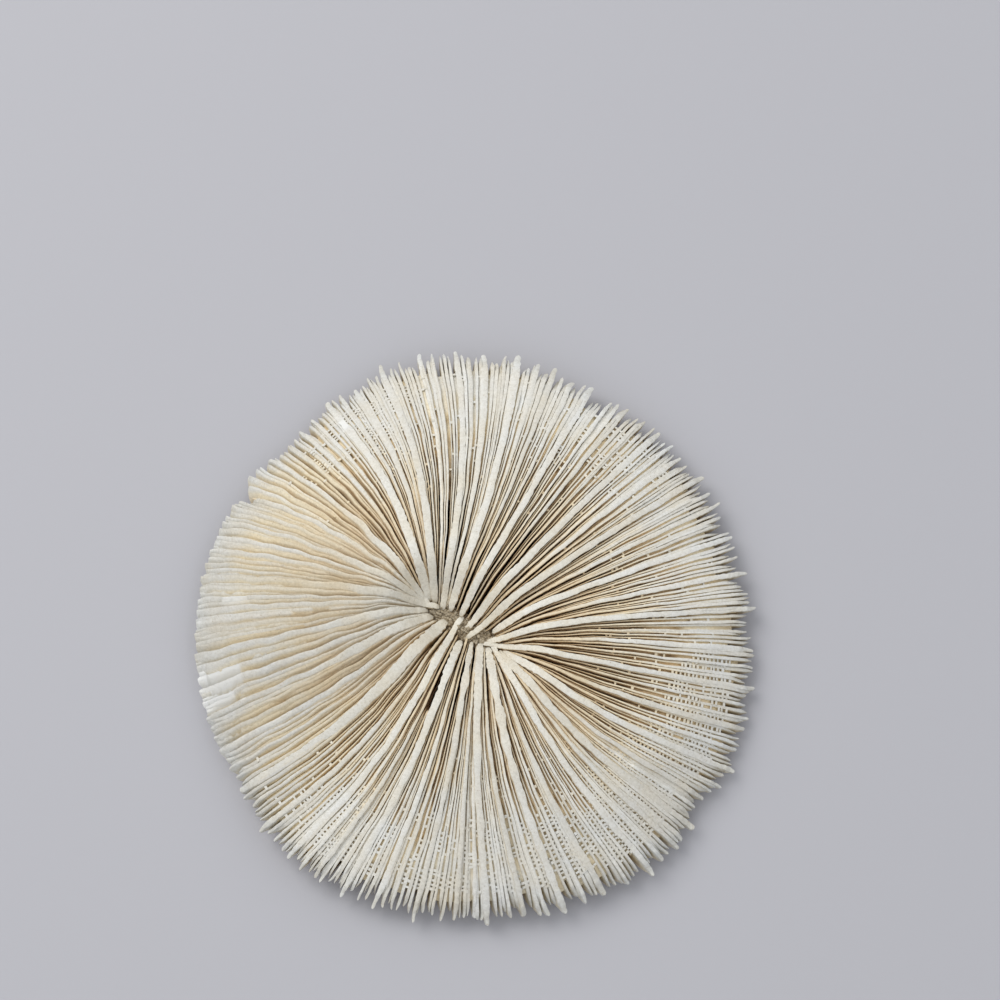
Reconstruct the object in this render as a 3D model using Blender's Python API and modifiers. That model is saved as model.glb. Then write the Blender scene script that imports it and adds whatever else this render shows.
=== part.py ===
"""Mushroom coral: the dry skeleton of one solitary polyp, lying with its mouth side up.

The skeleton grew as one piece, so it is one solid. It is turned as a blank of the disc's
average section, and every point of the blank is then moved to its place: the top into ridges
that run from the slit of the mouth to the rim, the outline into an oval with a few lobes and
notches, the underside into low ribs round a flat ring on which the disc rests.

Metres, +Z up. The origin is under the middle of the disc, on the surface it rests on.
"""

import math

import bmesh
import bpy
from mathutils import Vector

NAME = "coral_skeleton"

# The disc.
DISC_RADIUS = 0.0650
RIDGES = 96
COLUMNS = 2 * RIDGES
TIP_REACH = 0.0021

# The outline: lobes are (count round the disc, share of the radius, angle of the first lobe),
# notches are (angle, half width in degrees, depth).
LOBES = ((2, 0.013, -71.0), (3, 0.011, -39.0), (4, 0.006, -12.0), (5, 0.009, 24.0), (6, 0.006, -20.0))
NOTCHES = ((58.0, 4.0, 0.0016), (133.0, 6.0, 0.0010), (276.0, 4.0, 0.0010))

# The mouth: a slit, off the middle of the disc, at an angle to +X.
MOUTH_AT = Vector((-0.0026, 0.0008))
MOUTH_ANGLE = math.radians(143.0)
MOUTH_HALF_LENGTH = 0.0100
MOUTH_HALF_WIDTH = 0.0014
MOUTH_SHARE = 0.05
MOUTH_FLOOR = 0.0105

# The dome of the ridges' crests.
RIM_HEIGHT = 0.0062
DOME_RISE = 0.0180
DOME_POWER = 2.1
MOUTH_DIP = 0.0105
MOUTH_DIP_SHARE = 0.12
SWAYS = ((2, 0.0011, 60.0), (5, 0.0006, 10.0))
GROOVE_SHARE = 0.38

# The underside: a hollow middle, a flat ring to rest on, and a rim that curls up.
RING_INNER = 0.50
RING_OUTER = 0.70
HOLLOW_RISE = 0.0024
RIM_UNDERSIDE = 0.0034
PLATE_MIDDLE = 0.0036
PLATE_EDGE = 0.0014
RIB_HEIGHT = 0.0005

# How far the middle of a ridge bows sideways at each angle round the disc, in degrees and
# metres; a bow towards larger angles is positive.
BOWS = (
    (0.0, 0.0),
    (45.0, 0.0),
    (90.0, -0.0030),
    (115.0, -0.0030),
    (140.0, -0.0015),
    (180.0, 0.0010),
    (220.0, 0.0045),
    (250.0, 0.0020),
    (280.0, -0.0025),
    (330.0, -0.0035),
)

# Rings of the turned blank, as shares of the radius, from the mouth out and back underneath.
TOP_RINGS = (MOUTH_SHARE, 0.12, 0.20, 0.30, 0.41, 0.52, 0.63, 0.74, 0.84, 0.92, 0.97)
UNDER_RINGS = (0.94, 0.82, RING_OUTER, RING_INNER, 0.25)

CORAL_COLOUR = (0.66, 0.61, 0.50, 1.0)
CORAL_ROUGHNESS = 0.85


def clear_scene():
    """Remove every object, so that the script starts from nothing."""
    for obj in list(bpy.data.objects):
        bpy.data.objects.remove(obj, do_unlink=True)


def smooth_step(share):
    """Ease from 0 to 1 as share goes from 0 to 1."""
    share = min(max(share, 0.0), 1.0)
    return share * share * (3.0 - 2.0 * share)


def wrapped(angle):
    """An angle difference in degrees, brought between -180 and 180."""
    return (angle + 180.0) % 360.0 - 180.0


def waves(terms, angle):
    """The sum of a few cosines round the disc, each (count, height, first crest in degrees)."""
    return sum(
        height * math.cos(count * (angle - math.radians(crest)))
        for count, height, crest in terms
    )


def bow_at(angle):
    """How far the ridges bow sideways at this angle, eased between the angles of BOWS."""
    degrees = math.degrees(angle) % 360.0
    keys = BOWS + ((360.0, BOWS[0][1]),)
    for (low, bow_low), (high, bow_high) in zip(keys, keys[1:]):
        if degrees <= high:
            return bow_low + (bow_high - bow_low) * smooth_step((degrees - low) / (high - low))
    return keys[-1][1]


def rim_radius(angle):
    """The distance from the middle of the disc to the tips of the ridges."""
    radius = DISC_RADIUS * (1.0 + waves(LOBES, angle))
    for at, half_width, depth in NOTCHES:
        radius -= depth * math.exp(-((wrapped(math.degrees(angle) - at) / half_width) ** 2))
    return radius


def valley_share(angle):
    """0 on the crest of a ridge and 1 in the middle of the groove beside it."""
    return 0.5 * (1.0 - math.cos(RIDGES * angle))


def rim_point(angle):
    """Where a ridge or a groove ends at the rim."""
    radius = rim_radius(angle) - TIP_REACH * valley_share(angle)
    return Vector((math.cos(angle), math.sin(angle))) * radius


def mouth_point(angle):
    """Where a ridge that ends at this angle starts, on the long oval of the mouth."""
    along = Vector((math.cos(MOUTH_ANGLE), math.sin(MOUTH_ANGLE)))
    across = Vector((-along.y, along.x))
    turn = angle - MOUTH_ANGLE
    return (
        MOUTH_AT
        + along * MOUTH_HALF_LENGTH * math.cos(turn)
        + across * MOUTH_HALF_WIDTH * math.sin(turn)
    )


def top_point(share, angle):
    """Where a point of the top lies in plan, share being 0 at the pole and 1 at the rim."""
    if share < MOUTH_SHARE:
        return MOUTH_AT.lerp(mouth_point(angle), share / MOUTH_SHARE)
    run = (share - MOUTH_SHARE) / (1.0 - MOUTH_SHARE)
    side = Vector((-math.sin(angle), math.cos(angle)))
    straight = mouth_point(angle).lerp(rim_point(angle), run)
    return straight + side * bow_at(angle) * math.sin(math.pi * run)


def sway_at(share, angle):
    """The slow rise and fall of the disc round its rim."""
    return waves(SWAYS, angle) * smooth_step((share - RING_OUTER) / (1.0 - RING_OUTER))


def crest_height(share):
    """The height of the ridges' crests along the disc's average section."""
    if share < MOUTH_SHARE:
        return MOUTH_FLOOR
    run = (share - MOUTH_SHARE) / (1.0 - MOUTH_SHARE)
    dome = RIM_HEIGHT + DOME_RISE * (1.0 - run**DOME_POWER)
    return dome - MOUTH_DIP * math.exp(-((run / MOUTH_DIP_SHARE) ** 2))


def underside_height(share):
    """The height of the underside along the disc's average section."""
    if share < RING_INNER:
        return HOLLOW_RISE * smooth_step((RING_INNER - share) / RING_INNER)
    if share <= RING_OUTER:
        return 0.0
    return RIM_UNDERSIDE * ((share - RING_OUTER) / (1.0 - RING_OUTER)) ** 1.5


def plate_height(share):
    """The height of the plate from which the ridges rise."""
    return underside_height(share) + PLATE_MIDDLE + (PLATE_EDGE - PLATE_MIDDLE) * share


def ridged_top(share, angle):
    """The height of the top at a ridge or a groove."""
    crest = crest_height(share)
    if share < MOUTH_SHARE:
        return crest
    groove = GROOVE_SHARE * (crest - plate_height(share)) * valley_share(angle)
    return crest - groove + sway_at(share, angle)


def ribbed_underside(share, angle):
    """The height of the underside, with a low rib under each ridge outside the flat ring."""
    height = underside_height(share)
    if share <= RING_OUTER:
        return height
    return height + RIB_HEIGHT * valley_share(angle) + sway_at(share, angle)


def turned_blank():
    """The disc's average section, turned about Z: down its outer side and back to the middle."""
    outline = [(0.0, crest_height(0.0))]
    outline += [(share, crest_height(share)) for share in TOP_RINGS]
    outline.append((1.0, RIM_HEIGHT - PLATE_EDGE))
    outline += [(share, underside_height(share)) for share in UNDER_RINGS]
    outline.append((0.0, HOLLOW_RISE))

    mesh = bpy.data.meshes.new("blank_section")
    points = [(share * DISC_RADIUS, 0.0, height) for share, height in outline]
    edges = [(i, i + 1) for i in range(len(points) - 1)]
    mesh.from_pydata(points, edges, [])
    blank = bpy.data.objects.new("blank", mesh)
    bpy.context.scene.collection.objects.link(blank)
    screw = blank.modifiers.new("turn", "SCREW")
    screw.axis = "Z"
    screw.angle = 2.0 * math.pi
    screw.steps = COLUMNS
    screw.render_steps = COLUMNS
    screw.use_merge_vertices = True
    screw.merge_threshold = 0.0001
    return blank


def mesh_of(obj, name):
    """The evaluated mesh of an object, as a new mesh, with the object removed."""
    graph = bpy.context.evaluated_depsgraph_get()
    mesh = bpy.data.meshes.new_from_object(obj.evaluated_get(graph))
    mesh.name = name
    bpy.data.objects.remove(obj, do_unlink=True)
    return mesh


def carve(mesh):
    """Move every point of the turned blank to its place on the ridged, lobed disc."""
    shell = bmesh.new()
    shell.from_mesh(mesh)
    for vert in shell.verts:
        share = vert.co.xy.length / DISC_RADIUS
        angle = math.atan2(vert.co.y, vert.co.x)
        at_rim = share > 0.99
        on_top = not at_rim and vert.co.z > plate_height(share) - PLATE_EDGE / 2
        if at_rim:
            place = rim_point(angle)
            height = vert.co.z + sway_at(1.0, angle)
        elif on_top:
            place = top_point(share, angle)
            height = ridged_top(share, angle)
        else:
            place = rim_point(angle) * share
            height = ribbed_underside(share, angle)
        vert.co = (place.x, place.y, height)
    bmesh.ops.triangulate(shell, faces=shell.faces)
    bmesh.ops.recalc_face_normals(shell, faces=shell.faces)
    shell.to_mesh(mesh)
    shell.free()


def centre_on_origin(mesh):
    """Bring the middle of the disc's outline over the origin."""
    xs = [vert.co.x for vert in mesh.vertices]
    ys = [vert.co.y for vert in mesh.vertices]
    middle = Vector(((min(xs) + max(xs)) / 2, (min(ys) + max(ys)) / 2, 0.0))
    for vert in mesh.vertices:
        vert.co -= middle


def coral_material():
    """Dry, chalky, cream-white skeleton."""
    material = bpy.data.materials.new("dry_coral")
    material.use_nodes = True
    shader = material.node_tree.nodes["Principled BSDF"]
    shader.inputs["Base Color"].default_value = CORAL_COLOUR
    shader.inputs["Roughness"].default_value = CORAL_ROUGHNESS
    shader.inputs["Metallic"].default_value = 0.0
    return material


def build_coral():
    """The whole skeleton, as one closed solid in its own collection."""
    mesh = mesh_of(turned_blank(), NAME)
    carve(mesh)
    centre_on_origin(mesh)
    mesh.materials.append(coral_material())
    coral = bpy.data.objects.new(NAME, mesh)
    collection = bpy.data.collections.new("mushroom_coral")
    bpy.context.scene.collection.children.link(collection)
    collection.objects.link(coral)
    return coral


clear_scene()
build_coral()
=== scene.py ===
"""A dry mushroom coral: the skeleton of one solitary polyp, lying with its mouth side up.

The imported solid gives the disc's place, width and height. Everything that shows is modelled
here round that solid: the thin blades that run from the slit of the mouth to the rim in five
generations, the crossbars between them, the spongy floor of the mouth, and the plate that
carries them, with its ribs and spines underneath.
"""

import logging
import math
from collections.abc import Callable
from dataclasses import dataclass, field
from enum import Enum

import bmesh
import bpy
import numpy as np
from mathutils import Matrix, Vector, noise


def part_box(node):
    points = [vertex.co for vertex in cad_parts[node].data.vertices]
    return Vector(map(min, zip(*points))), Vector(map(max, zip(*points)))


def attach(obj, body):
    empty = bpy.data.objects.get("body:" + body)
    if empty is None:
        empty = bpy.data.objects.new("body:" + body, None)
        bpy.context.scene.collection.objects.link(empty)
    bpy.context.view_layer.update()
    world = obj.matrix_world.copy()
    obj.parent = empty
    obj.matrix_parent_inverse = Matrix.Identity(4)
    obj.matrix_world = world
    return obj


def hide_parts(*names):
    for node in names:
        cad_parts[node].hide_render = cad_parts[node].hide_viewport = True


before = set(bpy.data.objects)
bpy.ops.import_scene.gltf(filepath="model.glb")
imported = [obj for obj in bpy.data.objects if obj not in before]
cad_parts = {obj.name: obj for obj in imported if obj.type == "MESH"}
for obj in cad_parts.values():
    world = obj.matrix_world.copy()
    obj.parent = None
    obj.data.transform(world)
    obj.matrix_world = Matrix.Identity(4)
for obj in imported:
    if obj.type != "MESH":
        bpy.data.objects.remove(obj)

MM = 0.001
CORAL_NODE = "coral_skeleton"
BODY = "root"

Keys = tuple[tuple[float, float], ...]
Colour = tuple[float, float, float]

log = logging.getLogger("mushroom_coral")


# --- small helpers ------------------------------------------------------------------------


def smooth_step(share: np.ndarray) -> np.ndarray:
    """Ease from 0 to 1 as share goes from 0 to 1."""
    share = np.clip(share, 0.0, 1.0)
    return share * share * (3.0 - 2.0 * share)


def eased(run: np.ndarray, over: tuple[float, float]) -> np.ndarray:
    """Ease from 0 to 1 over a stretch given by its start and its length."""
    return smooth_step((run - over[0]) / over[1])


def along(keys: Keys, at: np.ndarray) -> np.ndarray:
    """Read a curve given by (place, value) points.

    Args:
        keys: The points, in rising order of place.
        at: The places to read it at.

    Returns:
        The values, on straight lines between the points.
    """
    places, values = zip(*keys)
    return np.interp(at, places, values)


def round_disc(keys: Keys, angle: np.ndarray) -> np.ndarray:
    """Read a value that changes smoothly round the disc.

    Args:
        keys: (degrees, value) points, rising from 0 and below 360.
        angle: The angles to read it at, in radians.

    Returns:
        The values, eased between the points, and from the last point back to the first.
    """
    places = np.array([place for place, _ in keys] + [360.0 + keys[0][0]])
    values = np.array([value for _, value in keys] + [keys[0][1]])
    degrees = (np.degrees(angle) - places[0]) % 360.0 + places[0]
    low = np.clip(np.searchsorted(places, degrees, side="right") - 1, 0, len(keys) - 1)
    share = (degrees - places[low]) / (places[low + 1] - places[low])
    return values[low] + (values[low + 1] - values[low]) * smooth_step(share)


def bump_at(angle: np.ndarray, at: float, half_width: float) -> np.ndarray:
    """A single smooth bump of height 1 round the disc, at an angle in degrees."""
    away = (np.degrees(angle) - at + 180.0) % 360.0 - 180.0
    return np.exp(-((away / half_width) ** 2))


class Ripple:
    """Smooth noise over the way from mouth to rim and the angle round the disc."""

    def __init__(self, seed: int, runs: float, turns: int, waves: int = 7) -> None:
        """Draw the waves.

        Args:
            seed: The seed of the draw.
            runs: How many waves there are at most from mouth to rim.
            turns: How many waves there are at most round the disc.
            waves: How many waves are added up.
        """
        draw = np.random.default_rng(seed)
        self.runs = draw.uniform(0.35, 1.0, waves) * runs * draw.choice((-1, 1), waves)
        self.turns = draw.integers(1, turns + 1, waves)
        self.phases = draw.uniform(0.0, 2.0 * math.pi, waves)

    def at(self, run: np.ndarray, angle: np.ndarray) -> np.ndarray:
        """The noise at a place, mostly between -1 and 1."""
        total = np.zeros(np.broadcast(run, angle).shape)
        for rate, turns, phase in zip(self.runs, self.turns, self.phases):
            total = total + np.sin(2.0 * math.pi * rate * run + turns * angle + phase)
        return total / math.sqrt(2.0 * len(self.runs))


# --- modelling with operators --------------------------------------------------------------


def only(obj: bpy.types.Object) -> None:
    """Make obj the one selected and active object."""
    bpy.ops.object.select_all(action="DESELECT")
    obj.select_set(True)
    bpy.context.view_layer.objects.active = obj


def newest(name: str) -> bpy.types.Object:
    """Name the object that an operator has just added, and its mesh."""
    obj = bpy.context.active_object
    obj.name = name
    obj.data.name = name
    return obj


def place_in_mesh(obj: bpy.types.Object) -> None:
    """Put the object's place, turn and scale into its mesh."""
    only(obj)
    bpy.ops.object.transform_apply(location=True, rotation=True, scale=True)


def select_edges(obj: bpy.types.Object, chosen: Callable[[Vector, Vector], bool]) -> None:
    """Select edges in edit mode by where they lie.

    Args:
        obj: The object being edited.
        chosen: Says from an edge's middle and direction whether it is selected.
    """
    bpy.ops.mesh.select_mode(type="EDGE")
    bpy.ops.mesh.select_all(action="DESELECT")
    cage = bmesh.from_edit_mesh(obj.data)
    for edge in cage.edges:
        ends = [vert.co for vert in edge.verts]
        middle = (ends[0] + ends[1]) / 2
        if chosen(middle, (ends[1] - ends[0]).normalized()):
            edge.select_set(True)
    bmesh.update_edit_mesh(obj.data)


def stepped(obj: bpy.types.Object, steps: int, chosen: Callable[[Vector, Vector], bool]) -> None:
    """Divide the chosen edges into a number of equal steps, in edit mode."""
    select_edges(obj, chosen)
    bpy.ops.mesh.subdivide(number_cuts=steps - 1)


def is_lengthways(middle: Vector, way: Vector) -> bool:
    """Whether an edge runs along X."""
    return abs(way.x) > 0.9


def is_upright(middle: Vector, way: Vector) -> bool:
    """Whether an edge runs along Z."""
    return abs(way.z) > 0.9


def arrayed(obj: bpy.types.Object, count: int) -> None:
    """Copy the object's mesh count times over, side by side, as one joined mesh."""
    only(obj)
    copies = obj.modifiers.new("copies", "ARRAY")
    copies.count = count
    copies.use_relative_offset = False
    copies.use_constant_offset = True
    copies.constant_offset_displace = (0.0, 4.0, 0.0)
    bpy.ops.object.modifier_apply(modifier=copies.name)


def points_of(obj: bpy.types.Object) -> np.ndarray:
    """The mesh's points, as an array of shape (points, 3)."""
    flat = np.empty(3 * len(obj.data.vertices), dtype=np.float64)
    obj.data.vertices.foreach_get("co", flat)
    return flat.reshape(-1, 3)


def move_points(obj: bpy.types.Object, points: np.ndarray) -> None:
    """Put the mesh's points at new places."""
    obj.data.vertices.foreach_set("co", np.ascontiguousarray(points, dtype=np.float32).ravel())
    obj.data.update()


def give_growth(obj: bpy.types.Object, run: np.ndarray, shade_and_stain: np.ndarray, tone: np.ndarray) -> None:
    """Store where each point is on the coral, for the finish to read.

    Args:
        obj: The piece.
        run: The share of the way from the mouth to the rim.
        shade_and_stain: How far down the point counts in the colours that darken into the gaps, in
            millimetres; painted shade of the gaps and of low crests, with the real stain.
        tone: A value from 0 to 1 that is the same all over a blade.
    """
    growth = obj.data.attributes.new("growth", "FLOAT_VECTOR", "POINT")
    values = np.stack([np.broadcast_to(part, run.shape).ravel() for part in (run, shade_and_stain, tone)], axis=1)
    growth.data.foreach_set("vector", values.astype(np.float32).ravel())


def finish_piece(obj: bpy.types.Object, material: bpy.types.Material, smooth_angle: float) -> None:
    """Give a piece its finish and its place in the frame.

    Args:
        obj: The finished mesh, at the origin.
        material: The finish.
        smooth_angle: Edges sharper than this, in degrees, stay sharp.
    """
    obj.data.materials.clear()
    obj.data.materials.append(material)
    only(obj)
    bpy.ops.object.mode_set(mode="EDIT")
    bpy.ops.mesh.select_all(action="SELECT")
    bpy.ops.mesh.normals_make_consistent(inside=False)
    bpy.ops.object.mode_set(mode="OBJECT")
    bpy.ops.object.shade_smooth_by_angle(angle=math.radians(smooth_angle))
    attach(obj, BODY)
    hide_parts(CORAL_NODE)
    log.info("%s: %d faces", obj.name, len(obj.data.polygons))


# --- the form of the disc ------------------------------------------------------------------


@dataclass(frozen=True)
class DiscForm:
    """The form that every piece of the skeleton follows.

    A place on the upper side is given by its run, 0 at the mouth and 1 at the mean rim, and
    the angle at which its blade meets the rim. Lengths are in metres and angles in radians,
    apart from the keys, whose angles are in degrees.

    Attributes:
        radius: The mean reach of the rim.
        height: The height of the highest crests.
        centre: What brings the middle of the outline over the origin.
    """

    radius: float
    height: float
    centre: tuple[float, float]

    # The outline: lobes as (count, share of the radius, degrees of the first), and notches as
    # (degrees, half width in degrees, share of the radius), where a negative one stands out.
    lobes: tuple[tuple[int, float, float], ...] = (
        (2, 0.013, -71.0), (3, 0.011, -39.0), (4, 0.006, -12.0), (5, 0.009, 24.0), (6, 0.006, -20.0),
    )
    notches: tuple[tuple[float, float, float], ...] = (
        (3.0, 3.0, -0.018), (59.5, 2.5, 0.024), (84.0, 6.0, 0.012), (111.0, 3.0, 0.018),
        (129.5, 4.5, 0.016), (139.5, 3.0, -0.014), (144.3, 1.5, 0.065), (166.0, 17.0, 0.020),
        (207.0, 7.0, 0.014), (231.0, 4.0, -0.018), (276.0, 4.0, 0.010), (301.0, 6.0, -0.018),
        (319.0, 4.5, 0.040), (357.0, 3.0, 0.018),
    )

    # The slit of the mouth, off the middle of the disc.
    mouth_at: tuple[float, float] = (-0.0026, 0.0008)
    mouth_angle: float = math.radians(143.0)
    mouth_half_length: float = 0.0092
    mouth_half_width: float = 0.0004

    # The dome of the crests, its dip at the mouth, and its slow rise and fall round the rim as
    # (count, rise, degrees of the first crest).
    rim_height: float = 0.0062
    top_margin: float = 0.0012
    dome_power: float = 2.1
    mouth_dip: float = 0.0105
    mouth_dip_share: float = 0.12
    sways: tuple[tuple[int, float, float], ...] = ((2, 0.0011, 60.0), (5, 0.0006, 10.0))

    # The underside, with the ring it rests on, the plate over it, and the room for ribs.
    ring_inner: float = 0.50
    ring_outer: float = 0.70
    hollow_rise: float = 0.0024
    rim_underside: float = 0.0034
    plate_middle: float = 0.0036
    plate_edge: float = 0.0016
    plate_reach: float = 0.93
    rib_room: float = 0.0008
    rib_fade: float = 0.14

    # The blades' places, and the waves (size, count, phase) that space them unevenly.
    blade_places: int = 384
    unevenness: tuple[tuple[float, float, float], ...] = ((0.022, 5.0, 1.0), (0.013, 9.0, 4.0))

    # What changes round the disc, against degrees: how far the blades bow sideways in
    # millimetres, how many degrees they lean, how stout they are, how much they lie like
    # shingles, how full of bridges the gaps are, and how dark the gaps are coloured, as real
    # stain together with painted shade that is set round the disc to how the light falls there.
    bows: Keys = (
        (0.0, 0.0), (45.0, 0.0), (90.0, -3.0), (115.0, -3.0), (140.0, -1.5), (180.0, 1.0), (220.0, 4.5),
        (250.0, 2.0), (280.0, -2.5), (330.0, -3.5),
    )
    leans: Keys = (
        (0.0, -4.0), (45.0, -6.0), (72.0, -14.0), (105.0, -2.0), (125.0, -14.0), (145.0, -46.0),
        (180.0, -54.0), (200.0, -46.0), (216.0, -14.0), (235.0, 4.0), (270.0, 16.0), (300.0, 14.0),
        (330.0, 6.0),
    )
    lean_depth: float = 0.0045
    girths: Keys = (
        (0.0, 0.85), (30.0, 0.95), (80.0, 1.2), (150.0, 1.0), (205.0, 1.15), (250.0, 1.05),
        (290.0, 1.15), (318.0, 1.0), (345.0, 0.8),
    )
    shingles: Keys = (
        (0.0, 0.0), (118.0, 0.0), (138.0, 0.8), (155.0, 1.0), (198.0, 1.0), (214.0, 0.3), (228.0, 0.0),
        (300.0, 0.0),
    )
    perforations: Keys = (
        (0.0, 0.0), (30.0, 0.1), (51.0, 0.2), (64.0, 0.1), (92.0, 0.1), (112.0, 0.4), (128.0, 0.15),
        (145.0, 0.0), (208.0, 0.0), (228.0, 0.3), (248.0, 0.25), (268.0, 0.25), (292.0, 0.5),
        (318.0, 1.0), (342.0, 0.45),
    )
    shade_and_stain_keys: Keys = (
        (0.0, 1.1), (45.0, 1.05), (68.0, 0.85), (90.0, 0.42), (108.0, 0.85), (122.0, 1.0), (148.0, 0.6),
        (180.0, 0.36), (212.0, 0.65), (236.0, 1.0), (262.0, 0.65), (296.0, 0.7), (325.0, 1.2),
    )

    # How the painted shade and stain in the gaps fade towards the rim, against the run.
    shade_and_stain_runs: Keys = ((0.0, 1.0), (0.3, 1.0), (0.6, 0.9), (0.8, 0.65), (0.9, 0.4), (1.0, 0.25))

    # How far the blades drift and kink sideways, how far their crests rise and fall, and how
    # much more the shingled ones kink.
    drift_size: float = 0.00016
    kink_size: float = 0.00009
    wave_size: float = 0.00018
    loose_shingles: float = 1.6
    drift: Ripple = field(default_factory=lambda: Ripple(11, 2.0, 7))
    kinks: Ripple = field(default_factory=lambda: Ripple(12, 9.0, 60))
    waves: Ripple = field(default_factory=lambda: Ripple(15, 5.0, 30))

    # The stretches of the run over which the lean, the holes and the merging begin, the
    # unevenness of the holes, and where round the disc the crests merge, as (degrees, half width).
    lean_over: tuple[float, float] = (-0.05, 0.45)
    hole_over: tuple[float, float] = (0.5, 0.35)
    hole_patches: float = 0.6
    fused_at: tuple[float, float] = (64.0, 17.0)
    fused_over: tuple[float, float] = (0.70, 0.15)

    @classmethod
    def fitted(cls, low: Vector, high: Vector) -> "DiscForm":
        """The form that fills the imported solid's box.

        Args:
            low: The box's lowest corner.
            high: The box's highest corner.

        Returns:
            The form, with its outline's middle over the middle of the box.
        """
        unit = cls(radius=1.0, height=high.z, centre=(0.0, 0.0))
        turn = np.linspace(0.0, 2.0 * math.pi, 720, endpoint=False)
        x = unit.rim(turn) * np.cos(turn)
        y = unit.rim(turn) * np.sin(turn)
        radius = (high.x - low.x) / (x.max() - x.min())
        centre = (
            (low.x + high.x) / 2 - radius * (x.max() + x.min()) / 2,
            (low.y + high.y) / 2 - radius * (y.max() + y.min()) / 2,
        )
        return cls(radius=radius, height=high.z, centre=centre)

    def spaced(self, angle: np.ndarray) -> np.ndarray:
        """Where a blade meets the rim, after the blades' spacing has grown a little uneven."""
        moved = angle
        for size, count, phase in self.unevenness:
            moved = moved + size * np.sin(count * angle + phase)
        return moved

    def unspaced(self, angle: np.ndarray) -> np.ndarray:
        """Where a place would be with the blades evenly spaced, closely enough."""
        return 2.0 * angle - self.spaced(angle)

    def shares(self, count: int, first: float = 0.0) -> np.ndarray:
        """The angles of a number of places round the disc, as a column."""
        return self.spaced((np.arange(count)[:, None] + first) * 2.0 * math.pi / count)

    def rim(self, angle: np.ndarray) -> np.ndarray:
        """The distance from the middle of the disc to its mean rim."""
        ratio = np.ones_like(angle)
        for count, share, crest in self.lobes:
            ratio = ratio + share * np.cos(count * (angle - math.radians(crest)))
        for at, half_width, depth in self.notches:
            ratio = ratio - depth * bump_at(angle, at, half_width)
        return self.radius * ratio

    def mouth(self, angle: np.ndarray) -> tuple[np.ndarray, np.ndarray]:
        """Where the blades start, on the long oval of the mouth."""
        turn = angle - self.mouth_angle
        lengthways = self.mouth_half_length * np.cos(turn)
        sideways = self.mouth_half_width * np.sin(turn)
        return self.in_mouth(lengthways, sideways)

    def in_mouth(self, lengthways: np.ndarray, sideways: np.ndarray) -> tuple[np.ndarray, np.ndarray]:
        """The x and y of a place given along and across the slit of the mouth."""
        cos, sin = math.cos(self.mouth_angle), math.sin(self.mouth_angle)
        x = self.mouth_at[0] + lengthways * cos - sideways * sin
        y = self.mouth_at[1] + lengthways * sin + sideways * cos
        return x, y

    def path(self, run: np.ndarray, angle: np.ndarray) -> tuple[np.ndarray, np.ndarray]:
        """Where a blade passes in plan on its way from the mouth to the rim.

        Args:
            run: The share of the way.
            angle: The angle at which the blade meets the rim.

        Returns:
            The x and y of each place.
        """
        start_x, start_y = self.mouth(angle)
        end_x = self.rim(angle) * np.cos(angle)
        end_y = self.rim(angle) * np.sin(angle)
        bow = round_disc(self.bows, angle) * MM * np.sin(math.pi * np.clip(run, 0.0, 1.0))
        x = start_x + (end_x - start_x) * run - bow * np.sin(angle)
        y = start_y + (end_y - start_y) * run + bow * np.cos(angle)
        return x + self.centre[0], y + self.centre[1]

    def side(self, run: np.ndarray, angle: np.ndarray) -> tuple[np.ndarray, np.ndarray]:
        """The direction across a blade, towards larger angles, as x and y of length 1."""
        step = 0.01
        x0, y0 = self.path(run - step, angle)
        x1, y1 = self.path(run + step, angle)
        length = np.hypot(x1 - x0, y1 - y0)
        return -(y1 - y0) / length, (x1 - x0) / length

    def lean_shift(self, depth: np.ndarray, run: np.ndarray, angle: np.ndarray) -> np.ndarray:
        """How far a leaning blade stands to the side of its crest, at a depth below it."""
        slope = np.tan(np.radians(round_disc(self.leans, angle)))
        fade = eased(run, self.lean_over)
        return -slope * fade * self.lean_depth * (1.0 - np.exp(-depth / self.lean_depth))

    def place(
        self, run: np.ndarray, angle: np.ndarray, across: np.ndarray, depth: np.ndarray
    ) -> tuple[np.ndarray, np.ndarray]:
        """Where a point of a blade lies in plan.

        Args:
            run: The share of the way from the mouth to the rim.
            angle: The angle at which the blade meets the rim.
            across: How far the point is to the side of the blade's middle.
            depth: How far it is below the crest.

        Returns:
            The x and y of each point.
        """
        x, y = self.path(run, angle)
        side_x, side_y = self.side(run, angle)
        loose = self.kink_size * (1.0 + self.loose_shingles * self.shingle(angle))
        aside = self.drift_size * self.drift.at(run, angle) + loose * self.kinks.at(run, angle)
        aside = across + aside * smooth_step(run / 0.3) + self.lean_shift(depth, run, angle)
        return x + side_x * aside, y + side_y * aside

    def pitch(self, run: np.ndarray) -> np.ndarray:
        """The distance between neighbouring places for a blade."""
        return 2.0 * math.pi * self.radius * np.clip(run, 0.05, 1.0) / self.blade_places

    def sway(self, run: np.ndarray, angle: np.ndarray) -> np.ndarray:
        """The slow rise and fall of the disc round its rim."""
        total = np.zeros(np.broadcast(run, angle).shape)
        for count, rise, crest in self.sways:
            total = total + rise * np.cos(count * (angle - math.radians(crest)))
        return total * smooth_step((run - self.ring_outer) / (1.0 - self.ring_outer))

    def crest(self, run: np.ndarray, angle: np.ndarray) -> np.ndarray:
        """The height of the longest blades' crests."""
        top = self.height + self.top_margin
        inside = np.clip(run, 0.0, None)
        dome = self.rim_height + (top - self.rim_height) * (1.0 - inside**self.dome_power)
        dip = self.mouth_dip * np.exp(-((inside / self.mouth_dip_share) ** 2))
        wavy = self.wave_size * (1.0 + self.shingle(angle)) * self.waves.at(run, angle)
        return dome - dip + self.sway(run, angle) + wavy

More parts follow.
